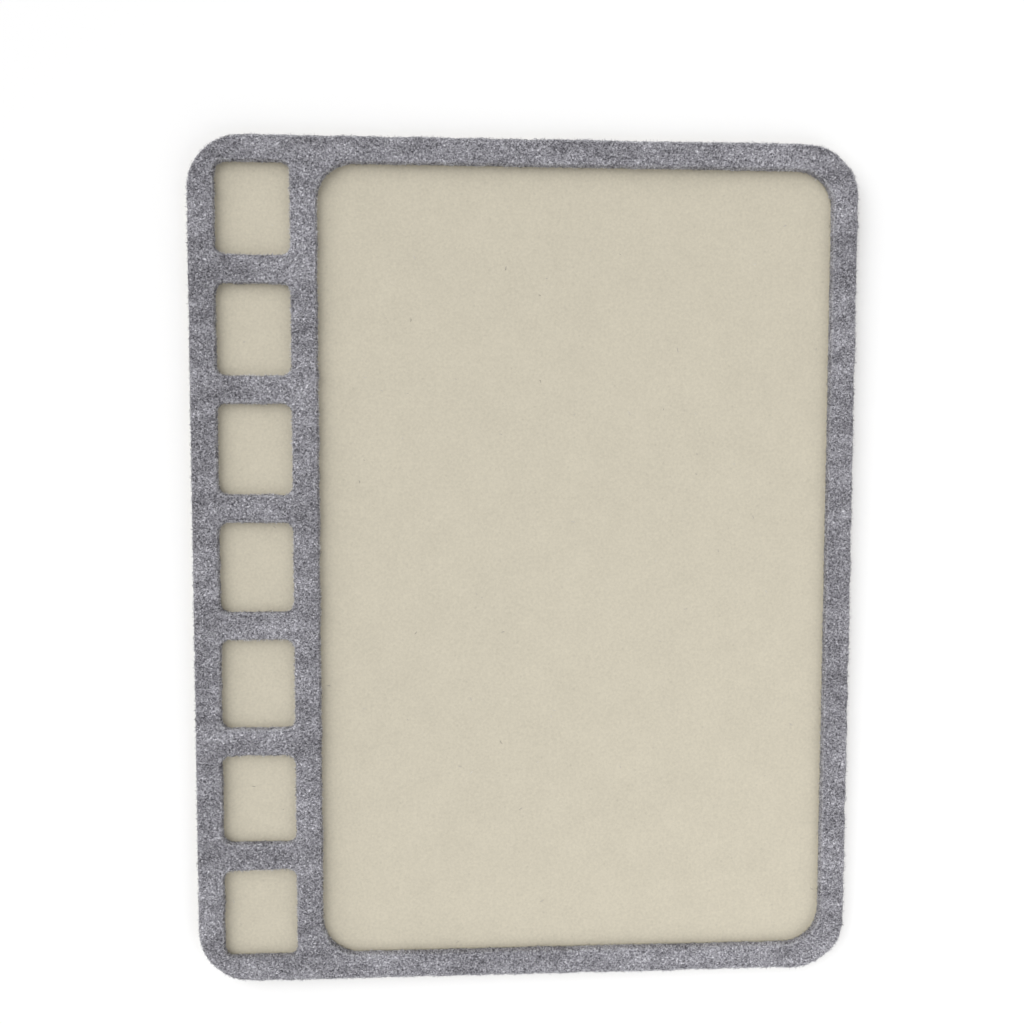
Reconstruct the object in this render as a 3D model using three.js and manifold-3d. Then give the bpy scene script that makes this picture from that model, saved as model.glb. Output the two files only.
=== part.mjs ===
// Bead mat: a die-cut felt frame with a work window and a column of pockets, glued on a flocked foam base.
// Millimetres. +Z is up, +Y runs along the pocket column, and the pockets are on the -X side.
// The origin is the middle of the underside.

import * as THREE from "three";
import { mergeVertices } from "three/addons/utils/BufferGeometryUtils.js";
import Module from "manifold-3d";

// Outline of the mat
const MAT_WIDTH = 279.4;        // across the pocket column, 11 in
const MAT_LENGTH = 355.6;       // along the pocket column, 14 in
const CORNER_RADIUS = 22;       // outer corners of every layer

// Felt left standing between the windows
const SIDE_RAIL = 10.4;         // outside the pockets and outside the work window
const END_RAIL = 10.4;          // at both ends of the work window
const POCKET_END_RAIL = 10.2;   // at both ends of the pocket column
const POCKET_BAR = 11.2;        // between two neighbouring pockets
const DIVIDER = 10.4;           // between the pockets and the work window

// Windows
const POCKET_COUNT = 7;
const POCKET_WIDTH = 31.3;
const POCKET_RADIUS = 4;
const WORK_RADIUS = 15.5;       // corners of the work window

// Layers, from the table up
const PILE_THICKNESS = 0.5;     // flock on each face of the foam
const FOAM_THICKNESS = 2;
const GLUE_THICKNESS = 0.25;
const FELT_THICKNESS = 4;
const FELT_SHOULDER = 0.6;      // radius of the cut felt's slumped top edges

// Fineness of the round stretches
const ARC_DIVISIONS = 4;        // half the straight steps of a corner's quarter turn
const SHOULDER_SEGMENTS = 3;

// Heights of the faces where the layers meet
const foamBottom = PILE_THICKNESS;
const foamTop = foamBottom + FOAM_THICKNESS;
const pileTop = foamTop + PILE_THICKNESS;
const feltBottom = pileTop + GLUE_THICKNESS;

// Pockets share the length that the end rails and the bars between them leave
const barsLength = (POCKET_COUNT - 1) * POCKET_BAR;
const pocketLength = (MAT_LENGTH - 2 * POCKET_END_RAIL - barsLength) / POCKET_COUNT;
const pocketPitch = pocketLength + POCKET_BAR;
const pocketLeft = -MAT_WIDTH / 2 + SIDE_RAIL;
const firstPocketBottom = -MAT_LENGTH / 2 + POCKET_END_RAIL;

// The work window takes the rest
const workLeft = pocketLeft + POCKET_WIDTH + DIVIDER;
const workWidth = MAT_WIDTH / 2 - SIDE_RAIL - workLeft;
const workLength = MAT_LENGTH - 2 * END_RAIL;

const wasm = await Module();
wasm.setup();

// Rounded rectangle from its lower left corner, drawn anticlockwise
function roundedRectangle(path, left, bottom, width, length, radius) {
  const right = left + width;
  const top = bottom + length;
  path.moveTo(left + radius, bottom);
  path.lineTo(right - radius, bottom);
  path.absarc(right - radius, bottom + radius, radius, -Math.PI / 2, 0);
  path.lineTo(right, top - radius);
  path.absarc(right - radius, top - radius, radius, 0, Math.PI / 2);
  path.lineTo(left + radius, top);
  path.absarc(left + radius, top - radius, radius, Math.PI / 2, Math.PI);
  path.lineTo(left, bottom + radius);
  path.absarc(left + radius, bottom + radius, radius, Math.PI, 1.5 * Math.PI);
  return path;
}

function matOutline() {
  const shape = new THREE.Shape();
  return roundedRectangle(shape, -MAT_WIDTH / 2, -MAT_LENGTH / 2, MAT_WIDTH, MAT_LENGTH, CORNER_RADIUS);
}

// The mat's outline with the work window and the pockets cut out
function frameOutline() {
  const shape = matOutline();
  shape.holes.push(
    roundedRectangle(new THREE.Path(), workLeft, -workLength / 2, workWidth, workLength, WORK_RADIUS),
  );
  for (let i = 0; i < POCKET_COUNT; i += 1) {
    const bottom = firstPocketBottom + i * pocketPitch;
    shape.holes.push(
      roundedRectangle(new THREE.Path(), pocketLeft, bottom, POCKET_WIDTH, pocketLength, POCKET_RADIUS),
    );
  }
  return shape;
}

// A sheet of even thickness cut square through
function cutSheet(shape, bottom, thickness) {
  const geometry = new THREE.ExtrudeGeometry(shape, {
    depth: thickness,
    curveSegments: ARC_DIVISIONS,
    bevelEnabled: false,
  });
  return geometry.translate(0, 0, bottom);
}

function toSolid(geometry) {
  geometry.deleteAttribute("normal");
  geometry.deleteAttribute("uv");
  const merged = mergeVertices(geometry);
  return new wasm.Manifold(new wasm.Mesh({
    numProp: 3,
    vertProperties: new Float32Array(merged.attributes.position.array),
    triVerts: new Uint32Array(merged.index.array),
  }));
}

function toGeometry(solid) {
  const mesh = solid.getMesh();
  const geometry = new THREE.BufferGeometry();
  geometry.setAttribute("position", new THREE.BufferAttribute(new Float32Array(mesh.vertProperties), 3));
  geometry.setIndex(new THREE.BufferAttribute(new Uint32Array(mesh.triVerts), 1));
  return geometry;
}

// The felt is rounded over along every top edge, outside and in the windows, and flat where it is glued:
// it is drawn rounded on both faces, one felt thickness too deep, and the lower half is cut away.
function feltFrame() {
  const rounded = new THREE.ExtrudeGeometry(frameOutline(), {
    depth: 2 * FELT_THICKNESS - 2 * FELT_SHOULDER,
    curveSegments: ARC_DIVISIONS,
    bevelThickness: FELT_SHOULDER,
    bevelSize: FELT_SHOULDER,
    bevelOffset: -FELT_SHOULDER,
    bevelSegments: SHOULDER_SEGMENTS,
  });
  rounded.translate(0, 0, feltBottom - FELT_THICKNESS + FELT_SHOULDER);
  const lowerHalf = new THREE.BoxGeometry(2 * MAT_WIDTH, 2 * MAT_LENGTH, 2 * FELT_THICKNESS);
  lowerHalf.translate(0, 0, feltBottom - FELT_THICKNESS);
  return toGeometry(toSolid(rounded).subtract(toSolid(lowerHalf)));
}

const heatheredFelt = new THREE.MeshStandardMaterial({ color: 0x8f8f97, roughness: 0.95, metalness: 0 });
const clearGlue = new THREE.MeshStandardMaterial({ color: 0xd9d4c4, roughness: 0.4, metalness: 0 });
const creamFlock = new THREE.MeshStandardMaterial({ color: 0xd6cfbb, roughness: 1, metalness: 0 });
const creamFoam = new THREE.MeshStandardMaterial({ color: 0xdcd3b4, roughness: 0.9, metalness: 0 });

const mat = new THREE.Group();

function addPiece(name, geometry, material) {
  geometry.computeVertexNormals();
  const mesh = new THREE.Mesh(geometry, material);
  mesh.name = name;
  mat.add(mesh);
}

addPiece("back_flock", cutSheet(matOutline(), 0, PILE_THICKNESS), creamFlock);
addPiece("foam_core", cutSheet(matOutline(), foamBottom, FOAM_THICKNESS), creamFoam);
addPiece("face_flock", cutSheet(matOutline(), foamTop, PILE_THICKNESS), creamFlock);
addPiece("frame_glue", cutSheet(frameOutline(), pileTop, GLUE_THICKNESS), clearGlue);
addPiece("felt_frame", feltFrame(), heatheredFelt);

export default mat;
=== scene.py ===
"""Bead mat in its finishes: a frame of heathered felt, fuzzy all over, on a flocked foam base."""

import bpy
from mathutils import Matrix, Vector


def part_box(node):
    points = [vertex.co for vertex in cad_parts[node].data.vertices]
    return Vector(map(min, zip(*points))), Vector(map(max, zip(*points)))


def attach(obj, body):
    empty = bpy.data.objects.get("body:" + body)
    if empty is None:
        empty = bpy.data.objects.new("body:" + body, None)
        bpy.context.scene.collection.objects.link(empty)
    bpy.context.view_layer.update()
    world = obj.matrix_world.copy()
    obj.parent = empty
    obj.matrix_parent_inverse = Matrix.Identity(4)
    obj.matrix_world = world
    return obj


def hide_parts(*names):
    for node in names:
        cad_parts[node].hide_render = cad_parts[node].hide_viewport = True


bl_info = {
    "name": "Bead mat",
    "version": (1, 0, 0),
    "blender": (4, 5, 0),
    "location": "View3D > Sidebar > Bead mat",
    "description": "Models a felt-framed bead mat layer by layer over its packed frame",
    "category": "Object",
}

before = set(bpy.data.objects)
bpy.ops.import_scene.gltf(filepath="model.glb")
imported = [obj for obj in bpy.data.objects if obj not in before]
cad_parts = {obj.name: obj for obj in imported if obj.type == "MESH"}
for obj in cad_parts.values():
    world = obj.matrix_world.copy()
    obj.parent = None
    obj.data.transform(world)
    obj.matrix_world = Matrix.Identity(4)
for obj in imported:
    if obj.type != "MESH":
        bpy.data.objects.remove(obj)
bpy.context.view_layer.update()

from math import radians

import bmesh
import bpy
import numpy as np
from bpy.props import FloatProperty, FloatVectorProperty, IntProperty, PointerProperty
from bpy.types import NodeSocket, Operator, Panel, PropertyGroup
from mathutils import Vector

MM = 0.001
NEAR = 0.1 * MM    # a vertex this near to a face counts as on it


# Properties

def linear(hex_colour):
    """An sRGB hex value as the linear red, green and blue that shaders take."""
    channels = [(hex_colour >> shift & 255) / 255 for shift in (16, 8, 0)]
    return [c / 12.92 if c <= 0.04045 else ((c + 0.055) / 1.055) ** 2.4 for c in channels]


def length(name, description, millimetres):
    return FloatProperty(
        name=name, description=description, default=millimetres * MM, min=0, precision=5,
        subtype="DISTANCE", unit="LENGTH",
    )


def whole(name, description, number, least=0):
    return IntProperty(name=name, description=description, default=number, min=least)


def colour(name, description, hex_colour):
    return FloatVectorProperty(
        name=name, description=description, default=linear(hex_colour), size=3, min=0, max=1, subtype="COLOR",
    )


class BeadMatCut(PropertyGroup):
    """Where the die cuts the felt"""

    corner_radius: length("Corner radius", "Outer corners of every layer", 22)
    side_rail: length("Side rail", "Felt outside the pockets and outside the work window", 10.4)
    end_rail: length("End rail", "Felt at both ends of the work window", 10.4)
    pocket_end_rail: length("Pocket end rail", "Felt at both ends of the pocket column", 10.2)
    pocket_bar: length("Pocket bar", "Felt between two neighbouring pockets", 11.2)
    divider: length("Divider", "Felt between the pockets and the work window", 10.4)
    pocket_count: whole("Pockets", "Pockets in the column", 7, least=1)
    pocket_width: length("Pocket width", "Pockets, measured across the column", 31.3)
    pocket_radius: length("Pocket radius", "Corners of the pockets", 4)
    work_radius: length("Work radius", "Corners of the work window", 15.5)
    shoulder: length("Shoulder", "Radius to which the felt's cut top edges slump", 0.6)


class BeadMatFelt(PropertyGroup):
    """Needled felt and its loose fibres"""

    dark: colour("Dark fibre", "Charcoal fibres in the blend", 0x3B3A41)
    middle: colour("Middle fibre", "Grey fibres, most of the blend", 0xADABB3)
    light: colour("Light fibre", "Nearly white fibres in the blend", 0xEBEBEF)
    pitch: length("Mesh pitch", "Spacing of the felt's vertices", 0.8)
    lump_size: length("Lump size", "Distance from one swelling to the next", 7)
    lump_height: length("Lump height", "Noise height of the swellings", 0.48)
    tuft_size: length("Tuft size", "Distance from one small tuft to the next", 1.8)
    tuft_height: length("Tuft height", "Noise height of the small tufts", 0.36)
    waver: length("Waver", "Noise height by which the die-cut edges stray", 0.54)
    fibre_count: whole("Fibres", "Short fibres on the felt", 128000)
    fibre_length: length("Fibre length", "Short fibres from end to end", 1.6)
    fibre_width: length("Fibre width", "Short fibres, drawn wider than real ones so that they show", 0.17)
    stray_count: whole("Strays", "Fibres that stand out", 16000)
    stray_length: length("Stray length", "Fibres that stand out, from end to end", 2)
    stray_width: length("Stray width", "Fibres that stand out, drawn wider than real ones", 0.14)
    stray_rise: length("Stray rise", "How far the tallest fibres stand out", 0.7)
    rim_count: whole("Rim fibres", "Fibre ends on cut edges", 16000)
    rim_length: length("Rim fibre length", "Fibre ends that lie along the cut edges", 1.2)
    fringe_length: length("Fringe length", "Fibre ends that jut out over the cut edges", 1.5)
    rim_width: length("Rim fibre width", "Fibre ends along the cut edges, drawn wider than real ones", 0.16)
    lint_count: whole("Lint", "Fibres shed on the flocked face", 90)
    seed: whole("Seed", "Start of the fibres' random places", 7)


class BeadMatBase(PropertyGroup):
    """Foam sheet with flock on both faces"""

    flock: colour("Flock", "Cream pile on both faces", 0xCCC5B3)
    foam: colour("Foam", "Cut edge of the foam core", 0xD4CCB6)
    glue: colour("Glue", "Film under the felt", 0xC9C3B0)
    pitch: length("Mesh pitch", "Spacing of the pile's vertices, half the foam's", 1.7)
    swell_size: length("Swell size", "Distance from one rise of the upper face to the next", 26)
    swell_height: length("Swell height", "Noise height of the upper face", 0.22)
    dent_size: length("Dent size", "Distance from one dent in the foam's cut edge to the next", 1.2)
    dent_depth: length("Dent depth", "Noise height of the foam's cut edge", 0.35)
    rag_size: length("Rag size", "Distance from one rag of the pile's cut edge to the next", 2)
    rag_depth: length("Rag depth", "Noise height of the pile's cut edge", 0.4)
    pile_count: whole("Pile fibres", "Fibres on a sheet's edge", 5000)
    pile_length: length("Pile length", "Fibres along a sheet's edge, from end to end", 0.7)
    pile_width: length("Pile width", "Fibres along a sheet's edge, drawn wider than real ones", 0.11)
    seed: whole("Seed", "Start of the pile's random places", 5)


class BeadMatStage(PropertyGroup):
    """Floor, light and camera"""

    floor: colour("Floor", "Matte paper under the mat", 0xF8F8F8)
    lens: FloatProperty(
        name="Lens", description="Focal length on a 36 mm sensor", default=35.16, unit="CAMERA",
    )
    eye: FloatVectorProperty(
        name="Eye", description="Place of the camera", default=(-0.0284, 0.0479, 0.4282),
        subtype="TRANSLATION", unit="LENGTH",
    )
    tilt: FloatVectorProperty(
        name="Tilt", description="Turn of the camera from looking straight down",
        default=[radians(angle) for angle in (-3.35, -2.97, 0.10)], subtype="EULER",
    )


class BeadMatSettings(PropertyGroup):
    """All that can be set on the bead mat"""

    cut: PointerProperty(type=BeadMatCut)
    felt: PointerProperty(type=BeadMatFelt)
    base: PointerProperty(type=BeadMatBase)
    stage: PointerProperty(type=BeadMatStage)


# Modelling

def select_only(*objects):
    bpy.ops.object.select_all(action="DESELECT")
    for obj in objects:
        obj.select_set(True)
    bpy.context.view_layer.objects.active = objects[0]


def edit_edges(obj, wanted):
    """Opens the mesh in edit mode with only the wanted edges selected."""
    select_only(obj)
    bpy.ops.object.mode_set(mode="EDIT")
    bpy.ops.mesh.select_mode(type="EDGE")
    bpy.ops.mesh.select_all(action="DESELECT")
    mesh = bmesh.from_edit_mesh(obj.data)
    for edge in mesh.edges:
        if wanted(edge):
            edge.select_set(True)
    bmesh.update_edit_mesh(obj.data)


def stands(edge):
    """Whether an edge runs up from a sheet's lower face to its upper one."""
    one, other = (vertex.co for vertex in edge.verts)
    return abs(one.z - other.z) > 0.5 * (one - other).length


def apply_modifier(obj, kind, **settings):
    """Finishes a mesh with one modifier."""
    select_only(obj)
    modifier = obj.modifiers.new(kind.title(), kind)
    for name, value in settings.items():
        setattr(modifier, name, value)
    bpy.ops.object.modifier_apply(modifier=modifier.name)


def points_of(obj):
    points = np.empty(3 * len(obj.data.vertices))
    obj.data.vertices.foreach_get("co", points)
    return points.reshape(-1, 3)


def group_points(obj, name, above, below=np.inf):
    """Names the vertices between two heights, for a modifier to move."""
    heights = points_of(obj)[:, 2]
    members = np.flatnonzero((heights > above) & (heights < below))
    group = obj.vertex_groups.new(name=name)
    group.add(members.tolist(), 1, "REPLACE")
    return group.name


def displace(obj, name, size, height, direction="NORMAL", group=""):
    """Pushes vertices, or a group of them, to and fro by soft noise of that size.

    The noise seldom comes near its full height: about two thirds of it show.
    """
    noise = bpy.data.textures.new(name, "CLOUDS")
    noise.noise_scale = size
    noise.noise_depth = 1
    apply_modifier(
        obj, "DISPLACE", texture=noise, texture_coords="LOCAL", direction=direction,
        strength=height, mid_level=0.5, vertex_group=group,
    )


def add_slab(name, low, high, radius, steps):
    """A slab between two corners, with its four upright edges rounded in that many steps."""
    bpy.ops.object.select_all(action="DESELECT")
    bpy.ops.mesh.primitive_cube_add(size=1, location=(low + high) / 2, scale=high - low)
    slab = bpy.context.object
    slab.name = name
    bpy.ops.object.transform_apply(location=True, rotation=True, scale=True)
    edit_edges(slab, stands)
    bpy.ops.mesh.bevel(offset=radius, segments=steps, affect="EDGES")
    bpy.ops.object.mode_set(mode="OBJECT")
    return slab


def add_sheet(name, low, high, radius, pitch, rim_cuts):
    """A closed sheet with an even mesh on both faces, rounded corners and a rim cut into bands."""
    bpy.ops.object.select_all(action="DESELECT")
    size = high - low
    middle = (low + high) / 2
    bpy.ops.mesh.primitive_grid_add(
        x_subdivisions=round(size.x / pitch), y_subdivisions=round(size.y / pitch), size=1,
        location=(middle.x, middle.y, high.z),
    )
    sheet = bpy.context.object
    sheet.name = name
    sheet.scale = (size.x, size.y, 1)
    bpy.ops.object.transform_apply(location=True, rotation=True, scale=True)

    # Square corners of the mesh are drawn in to quarter rounds
    points = points_of(sheet)
    from_middle = points[:, :2] - middle[:2]
    inner = np.array(size[:2]) / 2 - radius
    into_corner = np.clip((np.abs(from_middle) - inner) / radius, 0, 1)
    drawn_in = into_corner * np.sqrt(1 - into_corner[:, ::-1] ** 2 / 2)
    points[:, :2] += np.sign(from_middle) * (drawn_in - into_corner) * radius
    sheet.data.vertices.foreach_set("co", points.ravel())

    apply_modifier(sheet, "SOLIDIFY", thickness=size.z, offset=-1)
    edit_edges(sheet, stands)
    bpy.ops.mesh.subdivide(number_cuts=rim_cuts)
    bpy.ops.mesh.select_all(action="SELECT")
    bpy.ops.mesh.normals_make_consistent(inside=False)
    bpy.ops.object.mode_set(mode="OBJECT")
    bpy.ops.object.shade_smooth_by_angle(angle=radians(50))
    return sheet


def windows(cut, low, high):
    """Corner, opposite corner and corner radius of the work window and of each pocket."""
    left = low.x + cut.side_rail
    right = left + cut.pocket_width
    bars = (cut.pocket_count - 1) * cut.pocket_bar
    pocket = (high.y - low.y - 2 * cut.pocket_end_rail - bars) / cut.pocket_count
    yield (
        Vector((right + cut.divider, low.y + cut.end_rail, low.z)),
        Vector((high.x - cut.side_rail, high.y - cut.end_rail, high.z)),
        cut.work_radius,
    )
    for i in range(cut.pocket_count):
        bottom = low.y + cut.pocket_end_rail + i * (pocket + cut.pocket_bar)
        yield Vector((left, bottom, low.z)), Vector((right, bottom + pocket, high.z)), cut.pocket_radius


# How thickly fibres grow on a face, by its normal's rise: 1 where the face is level, 0 where it is upright

LEVEL = 0.85    # tops, flat but for their lumps
BROW = 0.6      # where a slumped edge turns from the top to the cut wall
WALL = 0.2      # cut walls, rough as they are


def all_over(rise):
    """Everywhere, thinner on the cut walls."""
    return np.where(rise > WALL, 1, 0.6)


def mostly_edges(rise):
    """Everywhere, twice as thick off the level tops."""
    return np.where(rise > LEVEL, 1, 2)


def level(rise):
    return rise > LEVEL


def on_rim(rise):
    """On slumped edges, from the brow to where the top is all but flat."""
    return (rise > BROW) & (rise < 0.96)


def under_rim(rise):
    """Below the brow, where the edge still faces up a little."""
    return (rise > 0.1) & (rise < BROW)


def upright(rise):
    return abs(rise) < 0.5


# Fibres

SPAN_SPREAD = (0.55, 1.45)    # shortest and longest of the fibres strewn together, over the mean
ROLL_SPREAD = 0.2             # how far fibres roll about their headings
BEND_SPREAD = 0.14            # how far a fibre strays sideways at its bends, over its length
TONE_SPREAD = 0.34            # how far tones stray to either side of the mean
TONE_DRIFT = 0.11             # how far the mean itself drifts with the blend
JUT_SPREAD = 0.45             # how far jutting fibres stray from straight out


def scatter(surface, count, above, weigh, rng):
    """Random points on the faces above a height, with the faces' normals.

    A face counts by its area, times what weigh gives for its normal's rise.
    """
    mesh = surface.data
    mesh.calc_loop_triangles()
    corners = np.empty(3 * len(mesh.loop_triangles), dtype=np.int32)
    mesh.loop_triangles.foreach_get("vertices", corners)
    a, b, c = points_of(surface)[corners].reshape(-1, 3, 3).transpose(1, 0, 2)
    normals = np.cross(b - a, c - a)
    weights = np.linalg.norm(normals, axis=1)
    normals /= weights[:, None]
    weights *= weigh(normals[:, 2]) * ((a + b + c)[:, 2] > 3 * above)
    chosen = rng.choice(len(a), count, p=weights / weights.sum())
    u, v = rng.random((2, count, 1))
    folded = u + v > 1
    u, v = np.where(folded, 1 - u, u), np.where(folded, 1 - v, v)
    places = a[chosen] + u * (b - a)[chosen] + v * (c - a)[chosen]
    return places, normals[chosen]


def heather(places, seed, waves=24, smallest=7, largest=60, squeeze=0.6):
    """How much lighter or darker the blend drifts at each place, about -1 to 1.

    It drifts in patches from the smallest to the largest size, in millimetres, and longest across the mat.
    """
    rng = np.random.default_rng(seed)
    patch_sizes = np.geomspace(smallest, largest, waves) * MM
    turns = rng.uniform(0, 2 * np.pi, waves)
    pulls = 2 * np.pi / patch_sizes * np.array([squeeze * np.cos(turns), np.sin(turns)])
    return np.sin(places[:, :2] @ pulls + rng.uniform(0, 2 * np.pi, waves)).sum(axis=1) / np.sqrt(waves)


def unit(vectors):
    return vectors / np.linalg.norm(vectors, axis=1, keepdims=True)


def lying(normals, rng):
    """Headings along the surface, more of them across the mat than along it, as felt is laid."""
    return unit(np.cross(normals, rng.normal(size=normals.shape) * (1, 1.5, 1)))


def jutting(normals, rng):
    """Headings out over the edge, more or less level."""
    return unit(unit(normals * (1, 1, 0)) + rng.normal(0, JUT_SPREAD, normals.shape))


def add_fibres(name, places, normals, headings, rng, *, rings, span, width, lift, tone, rise=0):
    """Bent slender fibres, one at each place: closed three-sided spindles that start under the surface.

    They lift off it by about lift, and their far ends dip under it again or stand out by as much as rise.
    The UV map's u is each fibre's tone, from dark at 0 to light at 1.
    """
    count = len(places)
    across = unit(np.cross(headings, normals + rng.normal(0, ROLL_SPREAD, normals.shape)))
    outward = np.cross(across, headings)
    spans = span * rng.uniform(*SPAN_SPREAD, (count, 1))
    # Most fibres lie close, and a few arch high or stand out far
    lifts = lift * (0.25 + 1.5 * rng.random((count, 1)) ** 3)
    rises = rise * rng.random((count, 1)) ** 1.5
    path = []
    for step in np.linspace(-0.5, 0.5, rings + 2):
        tip = abs(step) == 0.5
        bend = 0 if tip else rng.normal(0, BEND_SPREAD, (count, 1)) * spans
        height = (-0.5 * lift if tip else lifts) + rises * (step + 0.5)
        path.append(places + headings * step * spans + across * bend + normals * height)

    # Three points round each inner step of the path, and one at each tip
    points = [path[0][:, None]]
    for centre in path[1:-1]:
        for turn in np.radians((90, 210, 330)):
            offset = np.sin(turn) * outward + np.cos(turn) * across
            points.append((centre + offset * width / 2)[:, None])
    points.append(path[-1][:, None])
    points = np.concatenate(points, axis=1)

    last = points.shape[1] - 1
    faces = []
    for k in range(3):
        follow = (k + 1) % 3
        faces.append((0, 1 + follow, 1 + k))
        for ring in range(rings - 1):
            near, far = 1 + 3 * ring, 4 + 3 * ring
            faces.append((near + k, near + follow, far + follow))
            faces.append((near + k, far + follow, far + k))
        faces.append((last - 3 + k, last - 3 + follow, last))
    starts = np.arange(count)[:, None, None] * (last + 1)
    triangles = (starts + np.array(faces)).reshape(-1, 3)

    mesh = bpy.data.meshes.new(name)
    mesh.from_pydata(points.reshape(-1, 3), [], triangles.tolist())
    # UVs keep off the map's borders, and a hair to either side of the tone gives each face an area
    tones = np.clip(rng.normal(tone, TONE_SPREAD, count), 0.02, 0.98)[:, None]
    u = tones + np.resize((0, -0.004, 0, 0.004), last + 1)
    v = np.repeat(np.linspace(0.05, 0.95, rings + 2), [1] + [3] * rings + [1])
    uv = np.stack(np.broadcast_arrays(u, v), axis=2).reshape(-1, 2)
    mesh.uv_layers.new(name="OFBake").data.foreach_set("uv", uv[triangles.ravel()].ravel())
    fibres = bpy.data.objects.new(name, mesh)
    bpy.context.collection.objects.link(fibres)
    select_only(fibres)
    bpy.ops.object.shade_smooth()
    return fibres


# Materials

def add_node(tree, kind, inputs=None, stops=(), **settings):
    """Adds a node with its settings, its ramp's stops in order, and values or links on its inputs."""
    node = tree.nodes.new(kind)
    for name, value in settings.items():
        setattr(node, name, value)
    if stops:
        ramp = node.color_ramp.elements
        ramp.remove(ramp[-1])
        ramp[0].position = stops[0][0]
        for position, _ in stops[1:]:
            ramp.new(position)
        for stop, (_, tint) in zip(ramp, stops):
            stop.color = (*tint, 1)
    for name, value in (inputs or {}).items():
        if isinstance(value, NodeSocket):
            tree.links.new(value, node.inputs[name])
        else:
            node.inputs[name].default_value = value
    return node


def new_material(name):
    """A named material and its node tree, cleared but for the output node."""
    material = bpy.data.materials.new(name)
    material.use_nodes = True
    tree = material.node_tree
    tree.nodes.clear()
    tree.nodes.new("ShaderNodeOutputMaterial")
    return material, tree


def finish_material(tree, shader):
    output = tree.nodes["Material Output"]
    tree.links.new(shader.outputs[0], output.inputs["Surface"])


def shade(tint, factor):
    return [min(1, channel * factor) for channel in tint]


def seen_itself(tree):
    """1 for rays that show a thing itself, straight on, mirrored or through glass, and 0 for its light."""
    rays = add_node(tree, "ShaderNodeLightPath").outputs
    indirect = add_node(tree, "ShaderNodeMath", {0: rays["Is Glossy Ray"], 1: rays["Is Transmission Ray"]},
                        operation="MAXIMUM")
    seen = add_node(tree, "ShaderNodeMath", {0: rays["Is Camera Ray"], 1: indirect.outputs["Value"]},
                    operation="MAXIMUM")
    return seen.outputs["Value"]


def needled_felt(felt):
    """Needled polyester felt: a salt and pepper blend of fibres, dull, with a faint silvery bloom."""
    material, tree = new_material("needled_felt")
    place = add_node(tree, "ShaderNodeTexCoord").outputs["Object"]
    # Fibres are about 0.03 mm wide; the grain is drawn at 0.7 mm, so that it shows from a step away
    grain = add_node(tree, "ShaderNodeTexNoise", {
        "Vector": place, "Scale": 1 / (0.7 * MM), "Detail": 3, "Roughness": 0.65, "Distortion": 0.6,
    })
    # The two lower stops, charcoal and grey made darker, are partly the blend's dark fibres and partly
    # painted shade in the gaps between fibres, where the bump is low
    blend = add_node(tree, "ShaderNodeValToRGB", {"Fac": grain.outputs["Fac"]}, stops=[
        (0.34, shade(felt.dark, 0.7)), (0.46, shade(felt.middle, 0.5)), (0.56, felt.middle),
        (0.68, felt.light),
    ])
    patches = add_node(tree, "ShaderNodeAttribute", attribute_name="heather")
    drift = add_node(tree, "ShaderNodeMapRange", {
        "Value": patches.outputs["Fac"], "From Min": -1, "To Min": 0.85, "To Max": 1.15,
    })
    # Cut walls show fibre ends with small holes between them; painted shade darkens the upright faces, for
    # the shade among the fibre ends and on the walls
    facing = add_node(tree, "ShaderNodeSeparateXYZ", {
        "Vector": add_node(tree, "ShaderNodeNewGeometry").outputs["Normal"],
    })
    wall_shade = add_node(tree, "ShaderNodeMapRange", {
        "Value": facing.outputs["Z"], "From Min": 0.1, "From Max": 0.5, "To Min": 0.8, "To Max": 1,
    })
    # Heather drift times the painted shade of the walls
    depth = add_node(tree, "ShaderNodeMath", {0: drift.outputs["Result"], 1: wall_shade.outputs["Result"]},
                     operation="MULTIPLY")
    drifted_and_wall_shaded = add_node(tree, "ShaderNodeVectorMath", {0: blend.outputs["Color"], 1: depth.outputs["Value"]},
                       operation="MULTIPLY")
    relief = add_node(tree, "ShaderNodeBump", {
        "Height": grain.outputs["Fac"], "Strength": 0.6, "Distance": 0.25 * MM,
    })
    shader = add_node(tree, "ShaderNodeBsdfPrincipled", {
        "Base Color": drifted_and_wall_shaded.outputs["Vector"], "Normal": relief.outputs["Normal"],
        "Roughness": 0.95, "Sheen Weight": 0.15, "Sheen Roughness": 0.6, "Specular IOR Level": 0.2,
    })
    finish_material(tree, shader)
    return material


def loose_fibre(name, dark, middle, light):
    """Loose textile fibres, each of one tone, with a little more gloss than the cloth below."""
    material, tree = new_material(name)
    tone = add_node(tree, "ShaderNodeSeparateXYZ", {
        "Vector": add_node(tree, "ShaderNodeUVMap", uv_map="OFBake").outputs["UV"],
    })
    blend = add_node(tree, "ShaderNodeValToRGB", {"Fac": tone.outputs["X"]}, stops=[
        (0, dark), (0.5, middle), (1, light),
    ])
    shader = add_node(tree, "ShaderNodeBsdfPrincipled", {
        "Base Color": blend.outputs["Color"], "Roughness": 0.75, "Specular IOR Level": 0.3,
    })
    finish_material(tree, shader)
    return material


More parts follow.
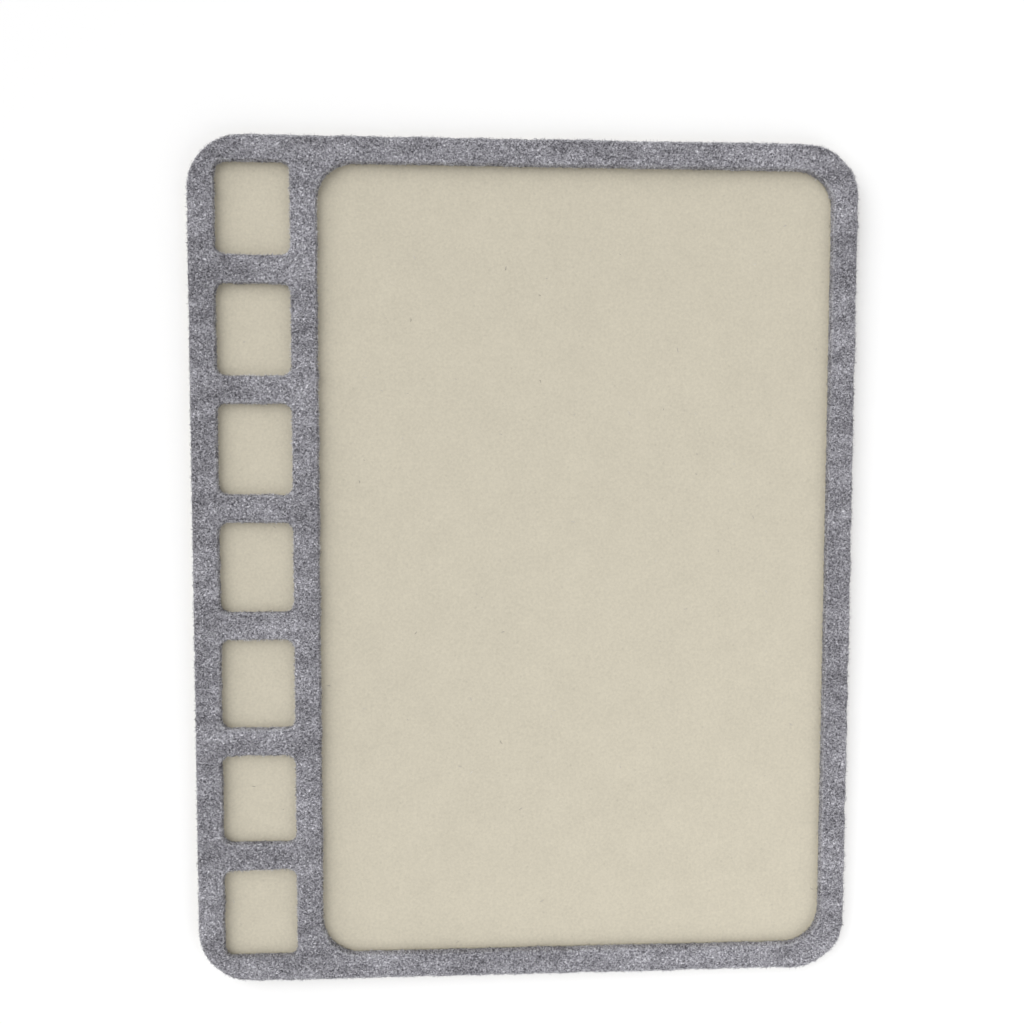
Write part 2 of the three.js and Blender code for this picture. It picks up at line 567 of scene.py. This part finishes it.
def flocked_pile(base):
    """Cream nylon flock: matte and even as suede, mottled where the pile leans, with odd specks of lint."""
    material, tree = new_material("flocked_nylon_pile")
    place = add_node(tree, "ShaderNodeTexCoord").outputs["Object"]
    # Pile fibres are about 0.02 mm wide; their tips are drawn as 1.1 mm tufts, so that they show
    tufts = add_node(tree, "ShaderNodeTexNoise", {
        "Vector": place, "Scale": 1 / (1.1 * MM), "Detail": 2, "Roughness": 0.6, "Distortion": 0.4,
    })
    # Handling leaves the pile leaning in patches of about 14 mm
    lean = add_node(tree, "ShaderNodeTexNoise", {"Vector": place, "Scale": 1 / (14 * MM), "Detail": 3})
    mixed = add_node(tree, "ShaderNodeMix", {
        "Factor": 0.25, "A": tufts.outputs["Fac"], "B": lean.outputs["Fac"],
    })
    mottle = add_node(tree, "ShaderNodeValToRGB", {"Fac": mixed.outputs["Result"]}, stops=[
        (0.3, shade(base.flock, 0.91)), (0.7, shade(base.flock, 1.07)),
    ])
    # Specks about a millimetre wide, some 5 mm apart
    lint = add_node(tree, "ShaderNodeTexVoronoi", {"Vector": place, "Scale": 1 / (5 * MM), "Randomness": 1})
    speck = add_node(tree, "ShaderNodeValToRGB", {"Fac": lint.outputs["Distance"]}, stops=[
        (0.06, [0.93] * 3), (0.14, [1] * 3),
    ])
    specked = add_node(tree, "ShaderNodeVectorMath", {0: mottle.outputs["Color"], 1: speck.outputs["Color"]},
                       operation="MULTIPLY")
    relief = add_node(tree, "ShaderNodeBump", {
        "Height": tufts.outputs["Fac"], "Strength": 0.4, "Distance": 0.15 * MM,
    })
    shader = add_node(tree, "ShaderNodeBsdfPrincipled", {
        "Base Color": specked.outputs["Vector"], "Normal": relief.outputs["Normal"],
        "Roughness": 1, "Sheen Weight": 0.08, "Sheen Roughness": 0.5, "Specular IOR Level": 0.1,
    })
    finish_material(tree, shader)
    return material


def open_cell_foam(base):
    """Die-cut polyurethane foam: straw-coloured, pitted with open cells along its edge, which are darkened
    with painted shade.
    """
    material, tree = new_material("open_cell_foam")
    place = add_node(tree, "ShaderNodeTexCoord").outputs["Object"]
    # Cells of about 0.4 mm are drawn at 0.7 mm, so that they show
    cells = add_node(tree, "ShaderNodeTexVoronoi", {"Vector": place, "Scale": 1 / (0.7 * MM)})
    # The cells' hollows are darkened: painted shade
    pit_shade = add_node(tree, "ShaderNodeValToRGB", {"Fac": cells.outputs["Distance"]}, stops=[
        (0.1, shade(base.foam, 0.62)), (0.55, base.foam),
    ])
    relief = add_node(tree, "ShaderNodeBump", {
        "Height": cells.outputs["Distance"], "Strength": 0.7, "Distance": 0.25 * MM,
    })
    shader = add_node(tree, "ShaderNodeBsdfPrincipled", {
        "Base Color": pit_shade.outputs["Color"], "Normal": relief.outputs["Normal"],
        "Roughness": 0.9, "Specular IOR Level": 0.3,
    })
    finish_material(tree, shader)
    return material


def adhesive_film(base):
    """Hot-melt adhesive film: thin, cloudy and satin, a shade browner where it is thick."""
    material, tree = new_material("hot_melt_adhesive_film")
    place = add_node(tree, "ShaderNodeTexCoord").outputs["Object"]
    # Clouds of about 3 mm, as the film melts unevenly
    cloud = add_node(tree, "ShaderNodeTexNoise", {"Vector": place, "Scale": 1 / (3 * MM), "Detail": 2})
    body = add_node(tree, "ShaderNodeValToRGB", {"Fac": cloud.outputs["Fac"]}, stops=[
        (0.35, shade(base.glue, 0.8)), (0.65, base.glue),
    ])
    shader = add_node(tree, "ShaderNodeBsdfPrincipled", {
        "Base Color": body.outputs["Color"], "Roughness": 0.45,
    })
    finish_material(tree, shader)
    return material


def backdrop_paper(stage):
    """Matte white paper that keeps the mat's shadow and fades to plain white a step away from it."""
    material, tree = new_material("backdrop_paper")
    place = add_node(tree, "ShaderNodeTexCoord").outputs["Object"]
    away = add_node(tree, "ShaderNodeVectorMath", {0: place}, operation="LENGTH")
    fade = add_node(tree, "ShaderNodeMapRange", {
        "Value": away.outputs["Value"], "From Min": 0.24, "From Max": 0.5,
    }, interpolation_type="SMOOTHSTEP")
    seen = seen_itself(tree)
    white = add_node(tree, "ShaderNodeMath", {0: seen, 1: fade.outputs["Result"]}, operation="MULTIPLY")
    # The camera sees the paper a little whiter than it lights the mat
    lightness = add_node(tree, "ShaderNodeMapRange", {"Value": seen, "To Min": 1, "To Max": 1.08})
    sight = add_node(tree, "ShaderNodeVectorMath", {0: stage.floor, "Scale": lightness.outputs["Result"]},
                     operation="SCALE")
    paper = add_node(tree, "ShaderNodeBsdfDiffuse", {"Color": sight.outputs["Vector"]})
    plain = add_node(tree, "ShaderNodeEmission", {"Color": (1, 1, 1, 1), "Strength": 1})
    shader = add_node(tree, "ShaderNodeMixShader", {
        0: white.outputs["Value"], 1: paper.outputs["BSDF"], 2: plain.outputs["Emission"],
    })
    finish_material(tree, shader)
    return material


# Operators

def dress(obj, material):
    """Gives an object that one material."""
    obj.data.materials.clear()
    obj.data.materials.append(material)


def place_piece(piece, material, slot, *nodes):
    """Gives a finished piece its material and fixes it to the frame in place of its CAD nodes."""
    dress(piece, material)
    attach(piece, "root")
    if nodes:
        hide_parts(*nodes)


class BEADMAT_OT_foam_core(Operator):
    """Lays the foam sheet, with its cut edge a little ragged"""

    bl_idname = "bead_mat.foam_core"
    bl_label = "Foam core"

    def execute(self, context):
        settings = context.scene.bead_mat
        base = settings.base
        low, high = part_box("foam_core")
        foam = add_sheet("foam_sheet", low, high, settings.cut.corner_radius, 2 * base.pitch, rim_cuts=3)
        rim = group_points(foam, "rim", low.z + NEAR, high.z - NEAR)
        displace(foam, "foam_cells", base.dent_size, base.dent_depth, group=rim)
        place_piece(foam, open_cell_foam(base), "foam", "foam_core")
        return {"FINISHED"}


class BEADMAT_OT_flock(Operator):
    """Lays the flocked faces, the upper one gently uneven"""

    bl_idname = "bead_mat.flock"
    bl_label = "Flocked faces"

    def execute(self, context):
        settings = context.scene.bead_mat
        base = settings.base
        pile = flocked_pile(base)
        tip = loose_fibre("loose_nylon_flock", shade(base.flock, 0.85), base.flock, shade(base.flock, 1.12))
        rng = np.random.default_rng(base.seed)
        for name, node in (("face_pile", "face_flock"), ("back_pile", "back_flock")):
            low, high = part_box(node)
            sheet = add_sheet(name, low, high, settings.cut.corner_radius, base.pitch, rim_cuts=1)
            rim = group_points(sheet, "rim", low.z + NEAR, high.z - NEAR)
            if node == "face_flock":
                upper = group_points(sheet, "upper", high.z - NEAR)
                displace(sheet, "face_swell", base.swell_size, base.swell_height, group=upper)
            displace(sheet, f"{name}_rim", base.rag_size, base.rag_depth, group=rim)
            place_piece(sheet, pile, "flock", node)

            # Pile juts out and up from the rim, rooted in it with a fifth of its length
            places, normals = scatter(sheet, base.pile_count, low.z + 2 * NEAR, upright, rng)
            headings = jutting(normals, rng)
            headings[:, 2] = abs(headings[:, 2])
            places += (0.5 - 0.2) * base.pile_length * headings
            edge = add_fibres(
                f"{name}_edge", places, normals, headings, rng, rings=1,
                span=base.pile_length, width=base.pile_width, lift=0.1 * MM, tone=0.5,
            )
            place_piece(edge, tip, "flock")
        return {"FINISHED"}


class BEADMAT_OT_glue(Operator):
    """Gives the adhesive film under the felt its finish"""

    bl_idname = "bead_mat.glue"
    bl_label = "Glue film"

    def execute(self, context):
        dress(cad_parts["frame_glue"], adhesive_film(context.scene.bead_mat.base))
        return {"FINISHED"}


class BEADMAT_OT_felt_frame(Operator):
    """Cuts the felt frame, slumps its edges and makes it lumpy"""

    bl_idname = "bead_mat.felt_frame"
    bl_label = "Felt frame"

    def execute(self, context):
        cut = context.scene.bead_mat.cut
        felt = context.scene.bead_mat.felt
        low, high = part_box("felt_frame")
        sheet = add_slab("felt_sheet", low, high, cut.corner_radius, steps=16)
        beyond = Vector((0, 0, high.z - low.z))
        dies = [
            add_slab("die", near - beyond, far + beyond, radius, steps=10)
            for near, far, radius in windows(cut, low, high)
        ]
        select_only(*dies)
        bpy.ops.object.join()
        apply_modifier(sheet, "BOOLEAN", object=dies[0], operation="DIFFERENCE", solver="EXACT")
        bpy.data.objects.remove(dies[0])

        def along_top(edge):
            on_top = all(vertex.co.z > high.z - NEAR for vertex in edge.verts)
            return on_top and any(upright(face.normal.z) for face in edge.link_faces)

        edit_edges(sheet, along_top)
        bpy.ops.mesh.bevel(offset=cut.shoulder, segments=4, affect="EDGES")
        bpy.ops.object.mode_set(mode="OBJECT")
        apply_modifier(sheet, "REMESH", mode="VOXEL", voxel_size=felt.pitch)

        # The glued face stays flat, and the rest swells, sinks and strays
        loose = group_points(sheet, "loose", low.z + 0.6 * MM)
        displace(sheet, "felt_lumps", felt.lump_size, felt.lump_height, group=loose)
        displace(sheet, "felt_tufts", felt.tuft_size, felt.tuft_height, group=loose)
        # Two sizes of noise, so that edges don't all stray along one diagonal
        displace(sheet, "waver_across", 7 * MM, felt.waver, direction="X")
        displace(sheet, "waver_along", 8 * MM, felt.waver, direction="Y")
        bpy.ops.object.shade_smooth()
        drift = heather(points_of(sheet), felt.seed)
        sheet.data.attributes.new("heather", "FLOAT", "POINT").data.foreach_set("value", drift)
        place_piece(sheet, needled_felt(felt), "felt", "felt_frame")
        return {"FINISHED"}


class BEADMAT_OT_felt_fuzz(Operator):
    """Strews short fibres and long strays over the felt"""

    bl_idname = "bead_mat.felt_fuzz"
    bl_label = "Felt fuzz"

    def execute(self, context):
        felt = context.scene.bead_mat.felt
        sheet = bpy.data.objects["felt_sheet"]
        # No fibres grow on the glued face
        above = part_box("felt_frame")[0].z + 0.25 * MM
        rng = np.random.default_rng(felt.seed)
        fibre = loose_fibre("loose_polyester_fibre", felt.dark, felt.middle, felt.light)

        # Short fibres are kept in pieces of a size that exports whole
        pieces = 4
        for i in range(pieces):
            places, normals = scatter(sheet, felt.fibre_count // pieces, above, all_over, rng)
            fuzz = add_fibres(
                f"felt_fuzz_{i + 1}", places, normals, lying(normals, rng), rng, rings=1,
                span=felt.fibre_length, width=felt.fibre_width, lift=0.16 * MM,
                tone=0.5 + TONE_DRIFT * heather(places, felt.seed),
            )
            place_piece(fuzz, fibre, "felt")

        places, normals = scatter(sheet, felt.stray_count, above, mostly_edges, rng)
        strays = add_fibres(
            "felt_strays", places, normals, lying(normals, rng), rng, rings=2,
            span=felt.stray_length, width=felt.stray_width, lift=0.2 * MM, rise=felt.stray_rise, tone=0.55,
        )
        place_piece(strays, fibre, "felt")

        # The die leaves pale ends along the edges, and their pale tone is partly painted highlight where the
        # rims catch the light: three in four lie on the rim
        places, normals = scatter(sheet, 3 * felt.rim_count // 4, above, on_rim, rng)
        rim = add_fibres(
            "felt_rim_fuzz", places, normals, lying(normals, rng), rng, rings=2,
            span=felt.rim_length, width=felt.rim_width, lift=0.1 * MM, rise=0.2 * MM, tone=0.85,
        )
        place_piece(rim, fibre, "felt")

        # The fourth juts out from under the rim, rooted in it with a quarter of its length, nearly as pale
        # and so partly painted highlight too
        places, normals = scatter(sheet, felt.rim_count // 4, above, under_rim, rng)
        headings = jutting(normals, rng)
        places += (0.5 - 0.25) * felt.fringe_length * headings
        fringe = add_fibres(
            "felt_fringe", places, normals, headings, rng, rings=2,
            span=felt.fringe_length, width=felt.rim_width, lift=0.1 * MM, rise=0.2 * MM, tone=0.8,
        )
        place_piece(fringe, fibre, "felt")

        # A few strays have dropped on the flocked face
        face = bpy.data.objects["face_pile"]
        places, normals = scatter(face, felt.lint_count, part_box("face_flock")[0].z, level, rng)
        lint = add_fibres(
            "shed_lint", places, normals, lying(normals, rng), rng, rings=2,
            span=felt.stray_length, width=felt.stray_width, lift=0.1 * MM, tone=0.4,
        )
        place_piece(lint, fibre, "felt")
        return {"FINISHED"}


class BEADMAT_OT_stage(Operator):
    """Sets the floor, the soft light and the camera"""

    bl_idname = "bead_mat.stage"
    bl_label = "Stage"

    def execute(self, context):
        scene = context.scene
        stage = scene.bead_mat.stage
        bpy.ops.object.select_all(action="DESELECT")
        # The floor lies a little lower than the mat, so that no two faces share a plane
        bpy.ops.mesh.primitive_circle_add(
            vertices=96, radius=6, fill_type="NGON", location=(0, 0, -0.2 * MM),
        )
        floor = context.object
        floor.name = "floor"
        floor.data.materials.append(backdrop_paper(stage))

        # Both lamps look at the middle of the mat
        lamps = (
            ("AREA", (0.3, -0.38, 0.45), {"name": "softbox", "size": 0.5, "energy": 0.8}),
            ("SUN", (-0.75, 0.5, 0.85), {"name": "window_light", "angle": radians(70), "energy": 1.7}),
        )
        for kind, place, settings in lamps:
            bpy.ops.object.light_add(type=kind, location=place)
            lamp = context.object
            lamp.rotation_euler = Vector(place).to_track_quat("Z", "Y").to_euler()
            lamp.visible_camera = False
            for name, value in settings.items():
                setattr(lamp.data, name, value)

        # The room lights the mat softly from all round and is plain white where it is seen
        scene.world = bpy.data.worlds.new("studio")
        scene.world.use_nodes = True
        tree = scene.world.node_tree
        tree.nodes.clear()
        strength = add_node(tree, "ShaderNodeMapRange", {
            "Value": seen_itself(tree), "To Min": 0.57, "To Max": 1,
        })
        sky = add_node(tree, "ShaderNodeBackground", {
            "Color": (1, 1, 1, 1), "Strength": strength.outputs["Result"],
        })
        add_node(tree, "ShaderNodeOutputWorld", {"Surface": sky.outputs["Background"]})
        scene.view_settings.view_transform = "Standard"

        bpy.ops.object.camera_add(location=stage.eye, rotation=stage.tilt)
        scene.camera = context.object
        scene.camera.data.lens = stage.lens
        scene.camera.data.sensor_width = 36
        scene.camera.data.clip_start = 10 * MM
        return {"FINISHED"}


class BEADMAT_PT_panel(Panel):
    """Settings and steps of the bead mat"""

    bl_idname = "BEADMAT_PT_panel"
    bl_label = "Bead mat"
    bl_space_type = "VIEW_3D"
    bl_region_type = "UI"
    bl_category = "Bead mat"

    def draw(self, context):
        settings = context.scene.bead_mat
        for group in (settings.cut, settings.felt, settings.base, settings.stage):
            box = self.layout.box()
            box.label(text=group.bl_rna.description)
            for name in group.__annotations__:
                box.prop(group, name)
        for step in STEPS:
            self.layout.operator(step.bl_idname)


SETTINGS = (BeadMatCut, BeadMatFelt, BeadMatBase, BeadMatStage, BeadMatSettings)
STEPS = (
    BEADMAT_OT_foam_core, BEADMAT_OT_flock, BEADMAT_OT_glue, BEADMAT_OT_felt_frame, BEADMAT_OT_felt_fuzz,
    BEADMAT_OT_stage,
)


def register():
    for cls in (*SETTINGS, *STEPS, BEADMAT_PT_panel):
        bpy.utils.register_class(cls)
    bpy.types.Scene.bead_mat = PointerProperty(type=BeadMatSettings)


def unregister():
    del bpy.types.Scene.bead_mat
    for cls in reversed((*SETTINGS, *STEPS, BEADMAT_PT_panel)):
        bpy.utils.unregister_class(cls)


def main():
    register()
    bpy.ops.bead_mat.foam_core()
    bpy.ops.bead_mat.flock()
    bpy.ops.bead_mat.glue()
    bpy.ops.bead_mat.felt_frame()
    bpy.ops.bead_mat.felt_fuzz()
    bpy.ops.bead_mat.stage()


if __name__ == "__main__":
    main()
